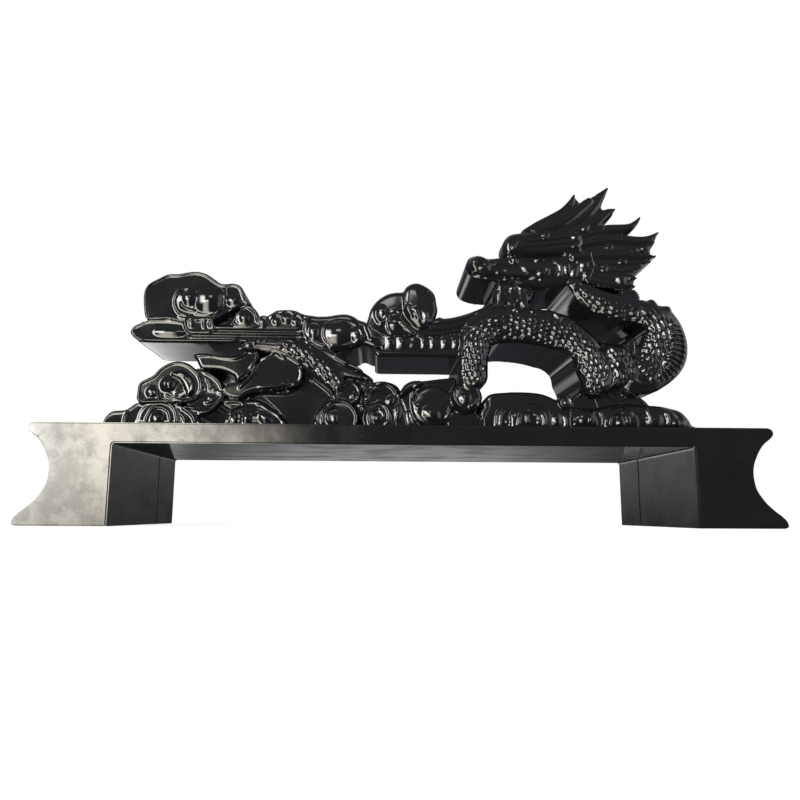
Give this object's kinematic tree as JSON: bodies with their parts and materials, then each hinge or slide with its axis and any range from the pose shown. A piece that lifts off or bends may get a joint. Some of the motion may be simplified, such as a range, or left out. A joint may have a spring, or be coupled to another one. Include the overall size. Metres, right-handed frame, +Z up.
{
  "type": "dragon display stand",
  "caption": "Glossy black display stand: a dragon carved among clouds on a bridge-shaped base with scrolled ends.",
  "frame": {"origin": "centre of the base's footprint, on the surface the stand rests on", "axes": "+Z up, +X along the base towards the dragon's head, -Y out of the front face of the base"},
  "size_m": [0.38, 0.112, 0.193],
  "materials": {
    "base_black": "high gloss black moulding, faint scuffs",
    "carving_black": "high gloss black cast resin"
  },
  "bodies": {
    "root": {"base_front_shell": "base_black", "base_rear_shell": "base_black", "dragon_head": "carving_black", "chin_beard": "carving_black", "brow_horn": "carving_black", "crown": "carving_black", "mane_lock_top": "carving_black", "mane_lock_middle": "carving_black", "mane_lock_bottom": "carving_black", "mane_beard": "carving_black", "neck": "carving_black", "back_loop": "carving_black", "body_saddle": "carving_black", "body_arch": "carving_black", "body_riser": "carving_black", "cloud_swoosh": "carving_black", "middle_cloud_left": "carving_black", "middle_cloud_right": "carving_black", "fluted_bar": "carving_black", "round_cloud": "carving_black", "cloud_beam": "carving_black", "upper_left_cloud": "carving_black", "upper_right_lobe": "carving_black", "beam_ball_cloud": "carving_black", "beam_hump_cloud": "carving_black", "tail_fin_front": "carving_black", "tail_fin_rear": "carving_black", "tail_band": "carving_black", "cloud_left_end": "carving_black", "cloud_left_curl": "carving_black", "cloud_left_crescent": "carving_black", "cloud_tail_ring": "carving_black", "tail_hollow": "carving_black", "cloud_swirl_left": "carving_black", "cloud_swirl_right": "carving_black", "cloud_centre": "carving_black", "cloud_riser_curl": "carving_black", "cloud_under_arch": "carving_black", "cloud_right_mid": "carving_black", "cloud_right_ring": "carving_black", "cloud_right_end": "carving_black"}
  },
  "joints": []
}
